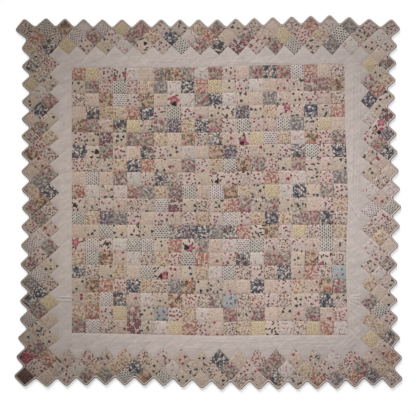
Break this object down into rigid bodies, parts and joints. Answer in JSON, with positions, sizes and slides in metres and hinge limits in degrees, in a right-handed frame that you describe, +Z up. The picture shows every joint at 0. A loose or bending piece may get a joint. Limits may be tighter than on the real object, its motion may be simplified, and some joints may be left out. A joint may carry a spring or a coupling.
{
  "type": "patchwork quilt",
  "caption": "Flat patchwork bed quilt: a centre of square patches, a plain cream border, a border of squares set on point with a toothed edge, and a narrow binding.",
  "frame": {"origin": "middle of the quilt, on the surface that it lies on", "axes": "+Z up out of the patchwork face, +Y towards the top of the design, +X to its right"},
  "size_m": [2.1738, 2.0972, 0.0059],
  "materials": {
    "patchwork": "soft washed cotton prints, matte",
    "cream_cotton": "plain weave cream cotton, matte",
    "binding": "plain beige cotton binding, matte"
  },
  "bodies": {
    "root": {"patchwork_centre": "patchwork", "cream_border_left": "cream_cotton", "cream_border_right": "cream_cotton", "cream_border_top": "cream_cotton", "cream_border_bottom": "cream_cotton", "pieced_border_top": "patchwork", "pieced_border_bottom": "patchwork", "pieced_border_left": "patchwork", "pieced_border_right": "patchwork", "binding_top": "binding", "binding_bottom": "binding", "binding_left": "binding", "binding_right": "binding"}
  },
  "joints": []
}
